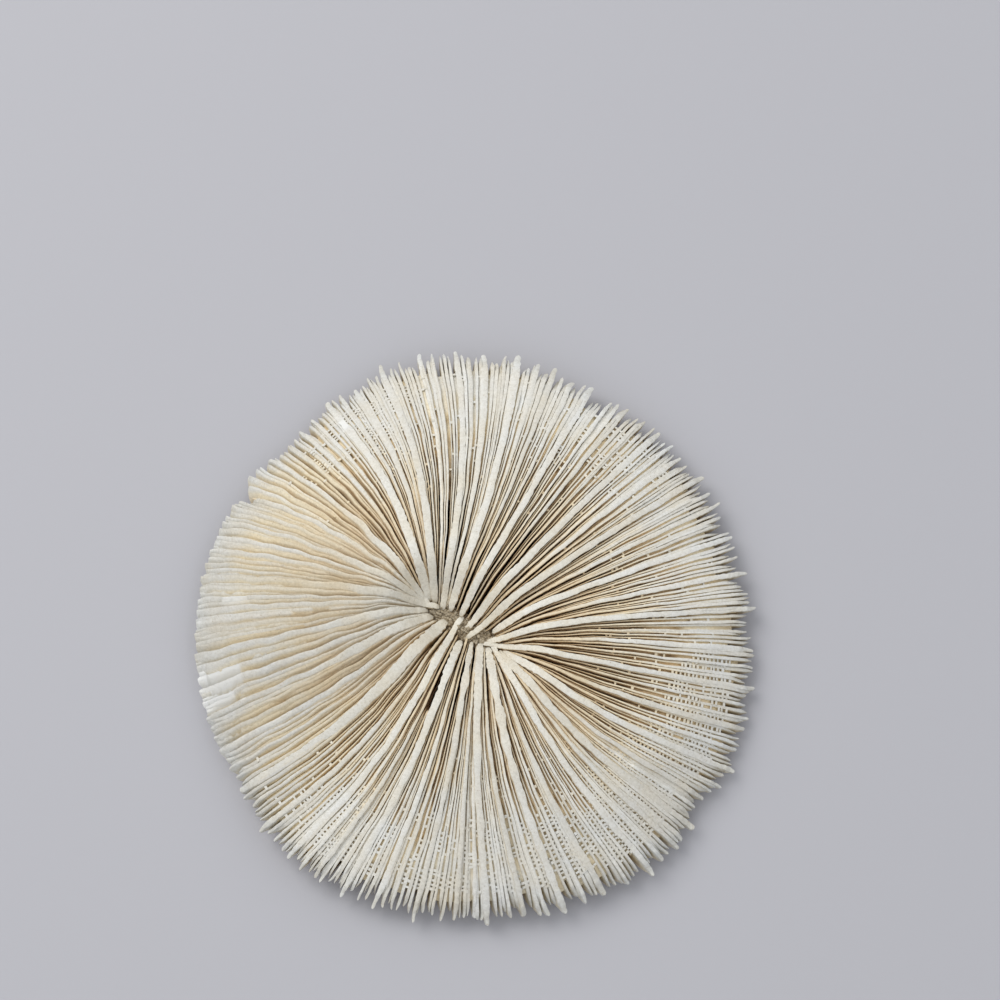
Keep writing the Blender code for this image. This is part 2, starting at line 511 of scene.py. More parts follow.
    def underside(self, run: np.ndarray, angle: np.ndarray) -> np.ndarray:
        """The height of the underside: a hollow middle, a flat ring, and a rim that curls up."""
        hollow = self.hollow_rise * smooth_step((self.ring_inner - run) / self.ring_inner)
        outside = np.clip((run - self.ring_outer) / (1.0 - self.ring_outer), 0.0, None)
        return hollow + self.rim_underside * outside**1.5 + self.sway(run, angle)

    def ribbed(self, run: np.ndarray, angle: np.ndarray) -> np.ndarray:
        """The height of the grooves between the ribs of the underside."""
        room = self.rib_room * (1.0 - smooth_step((run - self.ring_outer) / self.rib_fade))
        return self.underside(run, angle) + room

    def plate_top(self, run: np.ndarray, angle: np.ndarray) -> np.ndarray:
        """The height of the floor between the blades."""
        thick = self.plate_middle + (self.plate_edge - self.plate_middle) * np.clip(run, 0.0, 1.0)
        return self.underside(run, angle) + thick

    def shingle(self, angle: np.ndarray) -> np.ndarray:
        """How much the older blades lean over the younger ones like shingles, from 0 to 1."""
        return round_disc(self.shingles, angle)

    def perforation(self, run: np.ndarray, angle: np.ndarray) -> np.ndarray:
        """How far the gaps are bridged up to the crests, leaving rows of holes, from 0 to 1."""
        patchy = self.hole_patches * self.waves.at(2.0 * run, angle)
        amount = round_disc(self.perforations, angle) * eased(run, self.hole_over)
        return np.clip(amount * (1.0 + patchy), 0.0, 1.0)

    def fused(self, run: np.ndarray, angle: np.ndarray) -> np.ndarray:
        """How far the crests near the rim have thickened and merged, from 0 to 1."""
        return bump_at(angle, *self.fused_at) * eased(run, self.fused_over)

    def shade_and_stain(self, run: np.ndarray, angle: np.ndarray) -> np.ndarray:
        """How strongly the depths between the blades are darkened, as painted shade and stain."""
        return along(self.shade_and_stain_runs, run) * round_disc(self.shade_and_stain_keys, angle)


# --- finishes ------------------------------------------------------------------------------


class NodeBoard:
    """A material's nodes, with short ways to add and join them."""

    def __init__(self, name: str) -> None:
        """Start a material with only its shader and output."""
        self.material = bpy.data.materials.new(name)
        self.material.use_nodes = True
        self.nodes = self.material.node_tree.nodes
        self.links = self.material.node_tree.links
        self.shader = self.nodes["Principled BSDF"]

    def add(self, kind: str, **settings: object) -> bpy.types.Node:
        """Add a node of a kind and set its properties."""
        node = self.nodes.new(kind)
        for key, value in settings.items():
            setattr(node, key, value)
        return node

    def join(self, source: bpy.types.NodeSocket, target: bpy.types.NodeSocket) -> None:
        """Link an output to an input."""
        self.links.new(source, target)

    def math(
        self, operation: str, first: object, second: object = 0.0, clamp: bool = False
    ) -> bpy.types.NodeSocket:
        """A Math node on two sockets or numbers, and its result."""
        node = self.add("ShaderNodeMath", operation=operation, use_clamp=clamp)
        for socket, value in zip(node.inputs, (first, second)):
            if isinstance(value, (int, float)):
                socket.default_value = value
            else:
                self.join(value, socket)
        return node.outputs[0]

    def ramp(
        self, factor: bpy.types.NodeSocket, stops: tuple[tuple[float, Colour], ...]
    ) -> bpy.types.NodeSocket:
        """A colour ramp over a factor, and its colour."""
        node = self.add("ShaderNodeValToRGB")
        elements = node.color_ramp.elements
        while len(elements) < len(stops):
            elements.new(0.5)
        for element, (place, colour) in zip(elements, stops):
            element.position = place
            element.color = (*colour, 1.0)
        self.join(factor, node.inputs["Fac"])
        return node.outputs["Color"]

    def noise(self, scale: float, detail: float, roughness: float = 0.55) -> bpy.types.NodeSocket:
        """Noise on object coordinates, at a scale in cells per metre."""
        node = self.add("ShaderNodeTexNoise")
        node.inputs["Scale"].default_value = scale
        node.inputs["Detail"].default_value = detail
        node.inputs["Roughness"].default_value = roughness
        self.join(self.add("ShaderNodeTexCoord").outputs["Object"], node.inputs["Vector"])
        return node.outputs["Fac"]

    def mix(
        self, factor: object, first: object, second: object, blend: str = "MIX"
    ) -> bpy.types.NodeSocket:
        """Mix two colours, each a socket or a colour, and give the result."""
        node = self.add("ShaderNodeMix", data_type="RGBA", blend_type=blend)
        for name, value in (("Factor", factor), ("A", first), ("B", second)):
            socket = next(s for s in node.inputs if s.name == name and s.enabled)
            if isinstance(value, tuple):
                socket.default_value = (*value, 1.0)
            elif isinstance(value, (int, float)):
                socket.default_value = value
            else:
                self.join(value, socket)
        return next(s for s in node.outputs if s.enabled)


@dataclass(frozen=True)
class DepthColours:
    """The colours of the skeleton from the crests down into the gaps; the darkening with depth is partly
    the real warmer flanks and brown stain, partly painted shade of the gaps.
    """

    crest: Colour
    edge: Colour
    flank: Colour
    deep: Colour
    floor: Colour

    def stops(self) -> tuple[tuple[float, Colour], ...]:
        """The stops of a ramp that reaches down ten millimetres."""
        return (
            (0.0, self.crest),
            (0.015, self.crest),
            (0.035, self.edge),
            (0.13, self.flank),
            (0.38, self.deep),
            (0.85, self.floor),
        )


SPONGE_COLOURS = DepthColours(
    crest=(0.52, 0.48, 0.40),
    edge=(0.46, 0.41, 0.32),
    flank=(0.37, 0.31, 0.22),
    deep=(0.22, 0.16, 0.10),
    floor=(0.13, 0.09, 0.05),
)


@dataclass(frozen=True)
class SkeletonFinish:
    """Dry aragonite: pale chalky crests over warmer flanks, and brown in the deep gaps, partly real stain
    and partly painted shade.

    Attributes:
        name: The material's name.
        middle: The colours near the mouth.
        outer: The colours near the rim.
        fresh: The colour where the skeleton has broken.
        tips: The colour that the tips at the rim come near to.
        grain: The height of the grain, in metres.
        roughness: The roughness of the shader.
        patch_scale: The scale of the patches, in cells per metre, like the scales below.
        warmth_scale: The scale of the warmer patches.
        speckle_scale: The scale of the speckles.
        pore_scale: The scale of the fine pores.
        grain_scale: The scale of the grain.
    """

    name: str
    middle: DepthColours = DepthColours(
        crest=(0.76, 0.74, 0.67),
        edge=(0.76, 0.66, 0.49),
        flank=(0.60, 0.45, 0.27),
        deep=(0.36, 0.23, 0.13),
        floor=(0.17, 0.10, 0.055),
    )
    outer: DepthColours = DepthColours(
        crest=(0.755, 0.75, 0.71),
        edge=(0.86, 0.79, 0.62),
        flank=(0.76, 0.63, 0.43),
        deep=(0.42, 0.29, 0.17),
        floor=(0.22, 0.14, 0.08),
    )
    fresh: Colour = (0.87, 0.865, 0.83)
    tips: Colour = (0.62, 0.64, 0.63)
    grain: float = 0.00006
    roughness: float = 0.86
    patch_scale: float = 90.0
    warmth_scale: float = 140.0
    speckle_scale: float = 1500.0
    pore_scale: float = 2600.0
    grain_scale: float = 2200.0

    def material(self) -> bpy.types.Material:
        """Build the material."""
        board = NodeBoard(self.name)
        growth = board.add("ShaderNodeAttribute", attribute_name="growth").outputs["Vector"]
        parts = board.add("ShaderNodeSeparateXYZ")
        board.join(growth, parts.inputs[0])
        run, depth, tone = parts.outputs

        # The colour darkens with the depth attribute: painted shade of the gaps and of low crests, together
        # with the real stain.
        patches = board.math("SUBTRACT", board.noise(self.patch_scale, 3.0), 0.5)
        wander = board.math("MULTIPLY", patches, board.math("MINIMUM", depth, 1.2))
        share = board.math("DIVIDE", board.math("ADD", depth, wander), 10.0, clamp=True)
        middle = board.ramp(share, self.middle.stops())
        outer = board.ramp(share, self.outer.stops())
        outwards = board.math("DIVIDE", board.math("SUBTRACT", run, 0.3), 0.5, clamp=True)
        colour = board.mix(outwards, middle, outer)
        at_tips = board.math("DIVIDE", board.math("SUBTRACT", run, 0.92), 0.14, clamp=True)
        colour = board.mix(board.math("MULTIPLY", at_tips, 0.8), colour, self.tips)

        warmth = board.noise(self.warmth_scale, 2.0)
        speckles = board.noise(self.speckle_scale, 4.0, 0.7)
        tints = (
            (warmth, ((0.35, (1.0, 1.0, 1.0)), (0.7, (1.0, 0.96, 0.89)))),
            (tone, ((0.0, (0.93, 0.91, 0.88)), (1.0, (1.04, 1.04, 1.05)))),
            (speckles, ((0.3, (0.86, 0.85, 0.82)), (0.62, (1.05, 1.05, 1.05)))),
        )
        for factor, stops in tints:
            colour = board.mix(1.0, colour, board.ramp(factor, stops), "MULTIPLY")
        in_pores = ((0.68, (0.0, 0.0, 0.0)), (0.75, (1.0, 1.0, 1.0)))
        pores = board.ramp(board.noise(self.pore_scale, 1.0), in_pores)
        colour = board.mix(board.math("MULTIPLY", pores, 0.45), colour, self.middle.deep)
        broken = board.math("SUBTRACT", tone, 1.0, clamp=True)
        colour = board.mix(broken, colour, self.fresh)
        board.join(colour, board.shader.inputs["Base Color"])

        bump = board.add("ShaderNodeBump")
        bump.inputs["Strength"].default_value = 1.0
        bump.inputs["Distance"].default_value = self.grain
        board.join(board.noise(self.grain_scale, 3.0, 0.65), bump.inputs["Height"])
        board.join(bump.outputs["Normal"], board.shader.inputs["Normal"])
        board.shader.inputs["Roughness"].default_value = self.roughness
        board.shader.inputs["Specular IOR Level"].default_value = 0.25
        return board.material


# --- the blades ----------------------------------------------------------------------------


class Generation(Enum):
    """The generations of blades, oldest and longest first."""

    FIRST = "first"
    SECOND = "second"
    THIRD = "third"
    FOURTH = "fourth"
    FIFTH = "fifth"


@dataclass(frozen=True)
class Chip:
    """A place where crests have broken off.

    Attributes:
        angle: Where it is round the disc, in degrees.
        spread: How far it reaches each way round, in degrees.
        inner: The run at which it starts.
        outer: The run at which it ends.
        depth: How much has broken off, in millimetres.
    """

    angle: float
    spread: float
    inner: float
    outer: float
    depth: float

    def at(self, run: np.ndarray, angle: np.ndarray) -> np.ndarray:
        """How much is broken off at a place, from 0 to 1."""
        away = np.abs((np.degrees(angle) - self.angle + 180.0) % 360.0 - 180.0)
        across = smooth_step((1.3 - away / self.spread) / 0.6)
        return across * smooth_step((run - self.inner) / 0.008) * smooth_step((self.outer - run) / 0.02)


CHIPS: tuple[Chip, ...] = (
    Chip(185.5, 2.3, 0.81, 1.15, 1.1),
    Chip(191.0, 1.6, 0.86, 1.15, 1.2),
    Chip(169.0, 1.1, 0.77, 0.90, 0.7),
    Chip(313.0, 1.0, 0.465, 0.62, 1.5),
    Chip(318.5, 0.9, 0.60, 0.72, 0.8),
    Chip(74.0, 0.9, 0.79, 0.86, 0.5),
    Chip(118.0, 0.9, 0.84, 0.90, 0.6),
    Chip(258.0, 0.9, 0.70, 0.80, 0.6),
)

# Old pockets, where the crests lie low and are coloured darker.
POCKETS: tuple[Chip, ...] = (
    Chip(236.5, 2.2, 0.17, 0.33, 3.0),
    Chip(174.3, 0.9, 0.40, 0.58, 0.9),
)

# Where older blades lean over younger ones: how many bands that makes round the disc, and the
# stretches of the run over which the younger ones' extra drop begins and ends.
SHINGLE_BANDS = 96
SHELTER_OVER = (0.15, 0.20)
SHELTER_ENDS = (1.02, -0.10)

# The share of their drop that crests keep where the gaps carry no painted shade or stain.
LEAST_OPEN = 0.4

# How much the drop of a crest counts in the darkening, as painted shade of crests that lie low under the
# taller ones, and how much the depth of a pocket counts.
PAINTED_SHADE_BELOW = 0.45
DARKER_IN_POCKETS = 1.6


def lost(places: tuple[Chip, ...], run: np.ndarray, angle: np.ndarray) -> np.ndarray:
    """How much lower the crests are for all the chips or pockets given, in millimetres."""
    return sum(chip.depth * chip.at(run, angle) for chip in places)


@dataclass(frozen=True)
class BladeSizes:
    """One generation of blades.

    Attributes:
        generation: Which one it is.
        count: How many blades it has.
        first_at: Where the first blade stands, as a share of their pitch.
        widths: Their thickness at the crest in millimetres, against the run.
        drops: How far their crests lie under the longest blades' in millimetres, against run.
        shelter: How much deeper they lie at the foot of a band, where older blades lean over
            them, in millimetres.
        reach: How far their tips stand past the mean rim, in millimetres.
        reach_spread: How much that differs from blade to blade, each way.
        start_spread: How much the run at which they start differs, each way.
        segments: How many steps there are along a blade.
        flank_rows: How many rows of faces there are on each flank.
        crown: Whether the crest has a line of points along its middle.
        stout: How much their thickness follows the form's girths, from 0 to 1.
    """

    generation: Generation
    count: int
    first_at: float
    widths: Keys
    drops: Keys
    shelter: float
    reach: float
    reach_spread: float
    start_spread: float
    segments: int
    flank_rows: int
    crown: bool
    stout: float = 0.0

    @property
    def start(self) -> float:
        """The run at which the blades begin."""
        return self.drops[0][0]

    def drop(self, run: np.ndarray, angle: np.ndarray, form: DiscForm) -> np.ndarray:
        """How far the crests lie under the longest blades', in millimetres."""
        sheltered = form.shingle(angle) * eased(run, SHELTER_OVER) * eased(run, SHELTER_ENDS)
        down_band = form.unspaced(angle) * SHINGLE_BANDS / (2.0 * math.pi) % 1.0
        opened = LEAST_OPEN + (1.0 - LEAST_OPEN) * round_disc(form.shade_and_stain_keys, angle)
        covered = self.shelter * sheltered * down_band * np.clip(run, 0.0, 1.0)
        return along(self.drops, run) * opened + covered


BLADES: tuple[BladeSizes, ...] = (
    BladeSizes(
        Generation.FIRST, 24, 0.0,
        widths=((0.0, 1.2), (0.12, 1.65), (0.35, 1.5), (0.55, 1.35), (0.8, 1.45), (0.93, 1.3), (1.0, 1.1)),
        drops=((0.0, 0.0), (1.0, 0.0)),
        shelter=0.0, reach=1.4, reach_spread=0.8, start_spread=0.045,
        segments=150, flank_rows=4, crown=True, stout=1.0,
    ),
    BladeSizes(
        Generation.SECOND, 24, 0.5,
        widths=(
            (0.0, 0.4), (0.12, 0.5), (0.3, 0.65), (0.45, 0.85), (0.6, 1.05), (0.8, 1.25),
            (0.93, 1.2), (1.0, 1.0),
        ),
        drops=((0.01, 1.4), (0.10, 1.1), (0.25, 0.9), (0.4, 0.45), (0.55, 0.1), (0.65, 0.0), (1.0, 0.0)),
        shelter=0.0, reach=1.0, reach_spread=0.9, start_spread=0.02,
        segments=140, flank_rows=4, crown=True, stout=0.6,
    ),
    BladeSizes(
        Generation.THIRD, 48, 0.5,
        widths=((0.08, 0.28), (0.2, 0.36), (0.5, 0.5), (0.7, 0.7), (0.85, 0.8), (1.0, 0.75)),
        drops=((0.04, 2.6), (0.10, 1.4), (0.25, 1.0), (0.5, 0.6), (0.75, 0.15), (1.0, 0.0)),
        shelter=0.0, reach=0.3, reach_spread=1.1, start_spread=0.02,
        segments=90, flank_rows=3, crown=True,
    ),
    BladeSizes(
        Generation.FOURTH, 96, 0.5,
        widths=((0.14, 0.2), (0.35, 0.28), (0.5, 0.35), (0.7, 0.52), (0.85, 0.72), (1.0, 0.7)),
        drops=((0.11, 6.0), (0.18, 2.2), (0.3, 1.3), (0.5, 0.7), (0.7, 0.3), (0.85, 0.12), (1.0, 0.1)),
        shelter=2.4, reach=-0.2, reach_spread=1.1, start_spread=0.02,
        segments=48, flank_rows=2, crown=False,
    ),
    BladeSizes(
        Generation.FIFTH, 192, 0.5,
        widths=((0.22, 0.16), (0.4, 0.2), (0.6, 0.28), (0.75, 0.48), (0.88, 0.68), (1.0, 0.62)),
        drops=((0.18, 7.0), (0.27, 2.2), (0.45, 1.2), (0.6, 0.7), (0.75, 0.35), (0.9, 0.18), (1.0, 0.15)),
        shelter=2.4, reach=-0.9, reach_spread=1.1, start_spread=0.04,
        segments=13, flank_rows=2, crown=False,
    ),
)


@dataclass
class BladeBlank:
    """A straight blade of length 1 along X, half thickness 1 and height 1, before it is bent.

    Attributes:
        segments: How many steps there are along it.
        flank_rows: How many rows of faces there are on each flank.
        crown: Whether the crest has a line of points along its middle.
        shoulder: How far the bevels of the crest reach down and in.
    """

    segments: int
    flank_rows: int
    crown: bool
    shoulder: float = 0.16

    def build(self, name: str) -> bpy.types.Object:
        """Model the blank from a cube.

        Args:
            name: The new object's name.

        Returns:
            The blank, closed all round.
        """
        bpy.ops.mesh.primitive_cube_add(size=1.0, location=(0.5, 0.0, 0.5))
        blank = newest(name)
        blank.scale.y = 2.0
        place_in_mesh(blank)
        bpy.ops.object.mode_set(mode="EDIT")
        select_edges(blank, lambda middle, way: is_lengthways(middle, way) and middle.z > 0.9)
        bpy.ops.mesh.bevel(offset=self.shoulder, segments=2 if self.crown else 1)
        stepped(blank, self.flank_rows, is_upright)
        if self.crown:
            stepped(blank, 2, lambda middle, way: abs(way.y) > 0.9 and middle.z > 0.9)
        stepped(blank, self.segments, is_lengthways)
        bpy.ops.object.mode_set(mode="OBJECT")
        return blank


@dataclass
class Blades:
    """All the blades of one generation.

    Attributes:
        sizes: Their sizes.
        form: The form they follow.
        tip_length: The mean length over which a tip narrows, in metres.
        end_length: The length over which a tip's very end is rounded.
        inner_length: The length over which an inner end is rounded.
        shoulder: The depth of the rounding along the edges of a crest.
        tip_height: The height of a tip.
        mouth_drop: How far a crest comes down at its inner end.
        shingle_width: The thickness that blades come near to where they lean like shingles.
        slant: How steeply their crests fall there towards the side that shows.
        streak: How far down in the colours of the painted shade and stain the shingled crests reach, in
            millimetres.
        lift_spread: How much the height of the crests differs from blade to blade.
        stray_spread: How much the tips differ in where they point.
        crest_grain: How rough the crests are: everywhere, where broken, and where shingled.
        tooth_rise: How far the finest teeth of the crests rise and fall.
        crown_rise: How far the middle of a crest stands over its edges.
        merging: How much thicker the crests are where they merge near the rim.
        even_share: The share of their pitch that they take where there are rows of holes.
        ragged: How uneven the edge of a break is, as a share of the run.
        keel: How far the blades stand out under the plate, past its edge.
        buried: How deep their feet stand in the plate.
        keel_over: The stretch of the run over which the feet come out of the plate.
        tip_rise: The height of a tip's middle over the underside.
        least_height: The least height of a blade anywhere.
        body: Their thickness as a share of the crest's, against the depth in millimetres.
    """

    sizes: BladeSizes
    form: DiscForm
    tip_length: float = 0.0032
    end_length: float = 0.0005
    inner_length: float = 0.0016
    shoulder: float = 0.00012
    tip_height: float = 0.0007
    mouth_drop: float = 0.0012
    shingle_width: float = 0.00062
    slant: float = 0.6
    streak: float = 0.75
    lift_spread: float = 0.00018
    stray_spread: float = 0.00022
    crest_grain: tuple[float, float, float] = (0.00006, 0.00022, 0.00005)
    tooth_rise: float = 0.00004
    crown_rise: float = 0.00004
    merging: float = 0.45
    even_share: float = 0.70
    ragged: float = 0.006
    keel: float = 0.00045
    buried: float = 0.0008
    keel_over: tuple[float, float] = (0.90, 0.06)
    tip_rise: float = 0.0012
    least_height: float = 0.0004
    body: Keys = ((0.0, 1.0), (0.3, 1.0), (2.0, 0.86), (12.0, 1.1))
    swelling: Ripple = field(default_factory=lambda: Ripple(13, 11.0, 190, 9))
    nicks: Ripple = field(default_factory=lambda: Ripple(14, 46.0, 260, 12))
    teeth: Ripple = field(default_factory=lambda: Ripple(16, 80.0, 260, 12))

    def angles(self) -> np.ndarray:
        """Where the blades meet the rim, in radians."""
        count = self.sizes.count
        draw = np.random.default_rng(100 + count)
        places = np.arange(count) + self.sizes.first_at + draw.uniform(-0.07, 0.07, count)
        return self.form.spaced(places * 2.0 * math.pi / count)

    def width(self, run: np.ndarray, angle: np.ndarray, across: np.ndarray) -> np.ndarray:
        """How thick the blades are at the crest, with their unevenness, in metres."""
        form, sizes = self.form, self.sizes
        width = along(sizes.widths, run) * MM * round_disc(form.girths, angle) ** sizes.stout
        width = width * (1.0 + self.merging * form.fused(run, angle))
        sheltered = form.shingle(angle) * smooth_step((run - 0.3) / 0.3)
        width = width + (self.shingle_width - width) * 0.8 * sheltered
        even = np.maximum(self.even_share * form.pitch(run), width)
        width = width + (even - width) * np.minimum(1.7 * form.perforation(run, angle), 0.95)
        own_side = angle + 0.03 * np.sign(across)
        scallops = 0.10 + 0.10 * bump_at(angle, 270.0, 45.0)
        uneven = scallops * self.swelling.at(run, angle) + 0.10 * self.nicks.at(run, own_side)
        return width * (1.0 + uneven + 0.07 * self.teeth.at(run, own_side))

    def bend(self, blank: np.ndarray) -> tuple[np.ndarray, ...]:
        """Bend copies of the blank to their places on the disc.

        Args:
            blank: The blank's points, of shape (points, 3).

        Returns:
            The bent points of shape (blades, points, 3), and their run, painted shade and stain, and tone.
        """
        form, sizes = self.form, self.sizes
        draw = np.random.default_rng(200 + sizes.count + int(10 * sizes.first_at))
        each = (sizes.count, 1)
        angle = self.angles()[:, None]
        calm = 1.0 - 0.75 * form.shingle(angle)
        reach = (sizes.reach + draw.uniform(-1.0, 1.0, each) * sizes.reach_spread) * calm
        start = sizes.start + draw.uniform(-1.0, 1.0, each) * sizes.start_spread
        lift = draw.normal(0.0, self.lift_spread, each)
        widest = bump_at(angle, 210.0, 4.0) * (sizes.generation is Generation.FIRST)
        girth = draw.uniform(0.78, 1.22, each) * (1.0 + 0.3 * widest)
        slender = draw.uniform(0.55, 0.95, each)
        taper = self.tip_length * draw.uniform(0.6, 1.4, each)
        stray = draw.normal(0.0, self.stray_spread, each)
        tone = draw.uniform(0.0, 1.0, each)

        along_blade = blank[None, :, 0]
        across = blank[None, :, 1]
        up = blank[None, :, 2]
        spaced = along_blade - 0.10 * np.sin(2.0 * math.pi * along_blade)
        end = 1.0 + reach * MM / form.radius
        run = start + (end - start) * spaced
        length = (end - start) * form.radius
        to_tip = np.clip((1.0 - spaced) * length / taper, 0.0, 1.0)
        to_end = np.clip((1.0 - spaced) * length / self.end_length, 0.0, 1.0)
        to_mouth = np.clip(spaced * length / self.inner_length, 0.0, 1.0)

        drop = sizes.drop(run, angle, form)
        broken = lost(CHIPS, run + self.ragged * self.nicks.at(run, 5.0 * angle), angle)
        grain, in_breaks, in_shingles = self.crest_grain
        rough = grain + in_breaks * np.clip(broken, 0.0, 0.6) + in_shingles * form.shingle(angle)
        sunk = lost(POCKETS, run, angle)
        crest = form.crest(run, angle) - (drop + broken + sunk) * MM + lift
        crest = crest + rough * self.nicks.at(run, angle) + self.tooth_rise * self.teeth.at(run, angle)
        crest = crest - self.mouth_drop * (1.0 - to_mouth) ** 2
        keel = form.underside(run, angle) - self.keel
        buried = form.plate_top(run, angle) - self.buried
        base = np.maximum(buried + (keel - buried) * eased(run, self.keel_over), 0.0)
        tip_middle = form.underside(1.0, angle) + self.tip_rise
        narrow = (1.0 - to_tip) ** 1.6
        crest = crest + (tip_middle + self.tip_height / 2 - crest) * narrow
        base = base + (tip_middle - self.tip_height / 2 - base) * narrow
        full = np.maximum(crest - base, self.least_height)

        shoulder_depth = np.minimum(self.shoulder, full * 0.4)
        shoulder_at = 1.0 - BladeBlank.shoulder
        down_flank = np.clip((shoulder_at - up) / shoulder_at, 0.0, 1.0)
        in_crest = np.clip((1.0 - up) / BladeBlank.shoulder, 0.0, 1.0)
        depth = shoulder_depth * in_crest + (full - shoulder_depth) * down_flank**1.7

        width = self.width(run, angle, across) * girth
        width = width * (slender + (1.0 - slender) * smooth_step(to_tip))
        width = width * np.sqrt(1.0 - 0.92 * (1.0 - to_end) ** 2)
        width = width * (0.35 + 0.65 * np.sqrt(1.0 - (1.0 - to_mouth) ** 2))
        aside = across * width / 2 * along(self.body, depth / MM) + stray * (1.0 - to_tip) ** 2

        x, y = form.place(run, angle, aside, depth)
        crown = self.crown_rise * (1.0 - np.abs(across)) * (up > 0.95)
        laid_over = form.shingle(angle) * smooth_step((run - 0.05) / 0.25) * to_tip
        crown = crown - self.slant * laid_over * (across + 1.0) / 2 * width
        points = np.stack([x, y, crest - depth + crown], axis=2)
        streak = self.streak * form.shingle(angle) * (1.0 - tone) * smooth_step((run - 0.2) / 0.2)
        # Deeper points and lower crests are painted darker: painted shade in the gaps and under the taller
        # blades, with the real stain.
        shade_and_stain = depth / MM + PAINTED_SHADE_BELOW * drop + DARKER_IN_POCKETS * sunk + streak
        shade_and_stain = shade_and_stain * form.shade_and_stain(run, angle)
        return points, run, shade_and_stain, tone + 1.6 * np.clip(broken, 0.0, 1.0)

    def build(self, finish: bpy.types.Material) -> bpy.types.Object:
        """Model the blades and dress them.

        Args:
            finish: The blades' finish.

        Returns:
            One piece with all the blades of this generation.
        """
        sizes = self.sizes
        blank = BladeBlank(sizes.segments, sizes.flank_rows, sizes.crown)
        blades = blank.build(f"blades_{sizes.generation.value}")
        shape = points_of(blades)
        arrayed(blades, sizes.count)
        points, run, shade_and_stain, tone = self.bend(shape)
        move_points(blades, points.reshape(-1, 3))
        give_growth(blades, run, shade_and_stain, tone)
        finish_piece(blades, finish, 50.0)
        return blades


# --- between the blades --------------------------------------------------------------------


@dataclass
class BetweenBlades:
    """What grows in the gaps between neighbouring blades.

    Attributes:
        form: The form it follows.
        youngest: The sizes of the youngest blades, whose crests are the lowest.
        buried: How deep in the plate it may reach at most.
    """

    form: DiscForm
    youngest: BladeSizes
    buried: float = 0.001

    def settle(
        self,
        piece: bpy.types.Object,
        run: np.ndarray,
        angle: np.ndarray,
        across: np.ndarray,
        depth: np.ndarray,
    ) -> None:
        """Move a piece's points to their places in the gaps.

        Args:
            piece: The piece, with one copy of its shape for each row of the arrays.
            run: The share of the way from the mouth to the rim.
            angle: The angle at which the gap meets the rim.
            across: How far each point is to the side of the gap's middle.
            depth: How far it is below the longest blades' crests.
        """
        x, y = self.form.place(run, angle, across, depth)
        broken = lost(CHIPS + POCKETS, run, angle)
        floor = self.form.plate_top(run, angle) - self.buried
        z = np.maximum(self.form.crest(run, angle) - depth - broken * MM, floor)
        move_points(piece, np.stack([x, y, z], axis=2).reshape(-1, 3))


@dataclass
class Webs(BetweenBlades):
    """The thin floors that close the gaps between neighbouring blades under their crests.

    Attributes:
        inner: The mean run at which the webs begin.
        outer: The run at which they end.
        depths: How far the webs lie under the crests in millimetres, against the run.
        pit: How much deeper they lie in pits.
        segments: How many steps there are along a web.
        thickness: How thick a web is.
    """

    inner: float = 0.36
    outer: float = 0.93
    depths: Keys = ((0.30, 3.0), (0.42, 2.1), (0.6, 1.2), (0.75, 0.7), (0.86, 0.6), (0.91, 1.2), (1.0, 2.4))
    pit: float = 1.3
    segments: int = 16
    thickness: float = 0.0006
    pits: Ripple = field(default_factory=lambda: Ripple(17, 14.0, 170, 12))

    def build(self, finish: bpy.types.Material) -> bpy.types.Object:
        """Model the webs as thin straps, one in each gap, and dress them.

        Args:
            finish: Their finish.

        Returns:
            All the webs as one piece.
        """
        form = self.form
        draw = np.random.default_rng(61)
        bpy.ops.mesh.primitive_cube_add(size=1.0, location=(0.5, 0.0, 0.0))
        piece = newest("webs")
        place_in_mesh(piece)
        bpy.ops.object.mode_set(mode="EDIT")
        stepped(piece, self.segments, is_lengthways)
        bpy.ops.object.mode_set(mode="OBJECT")
        strap = points_of(piece)
        arrayed(piece, form.blade_places)

        each = (form.blade_places, 1)
        angle = form.shares(form.blade_places, 0.5)
        start = self.inner + draw.uniform(-0.05, 0.05, each)
        end = self.outer + draw.uniform(-0.03, 0.015, each)
        run = start + (end - start) * strap[None, :, 0]
        across = strap[None, :, 1] * form.pitch(run) * 1.05
        low = self.youngest.drop(run, angle, form) * MM
        perforation = form.perforation(run, angle)
        pitted = smooth_step((self.pits.at(run, 3.0 * angle) - 0.35) / 0.3) * (1.0 - perforation)
        own_depth = along(self.depths, run) * (0.6 + 0.4 * round_disc(form.shade_and_stain_keys, angle))
        own_depth = own_depth + self.pit * pitted * smooth_step((0.92 - run) / 0.3)
        own_depth = own_depth + 0.55 * perforation + 2.0 * form.shingle(angle)
        own_depth = own_depth * MM + (0.5 - strap[None, :, 2]) * self.thickness
        self.settle(piece, run, angle, across, low + own_depth)
        # Webs deep in the gaps are painted darker, as painted shade with the stain.
        shade_and_stain = (own_depth + PAINTED_SHADE_BELOW * low) / MM * form.shade_and_stain(run, angle)
        give_growth(piece, run, shade_and_stain, draw.uniform(0.2, 0.8, each))
        finish_piece(piece, finish, 40.0)
        return piece


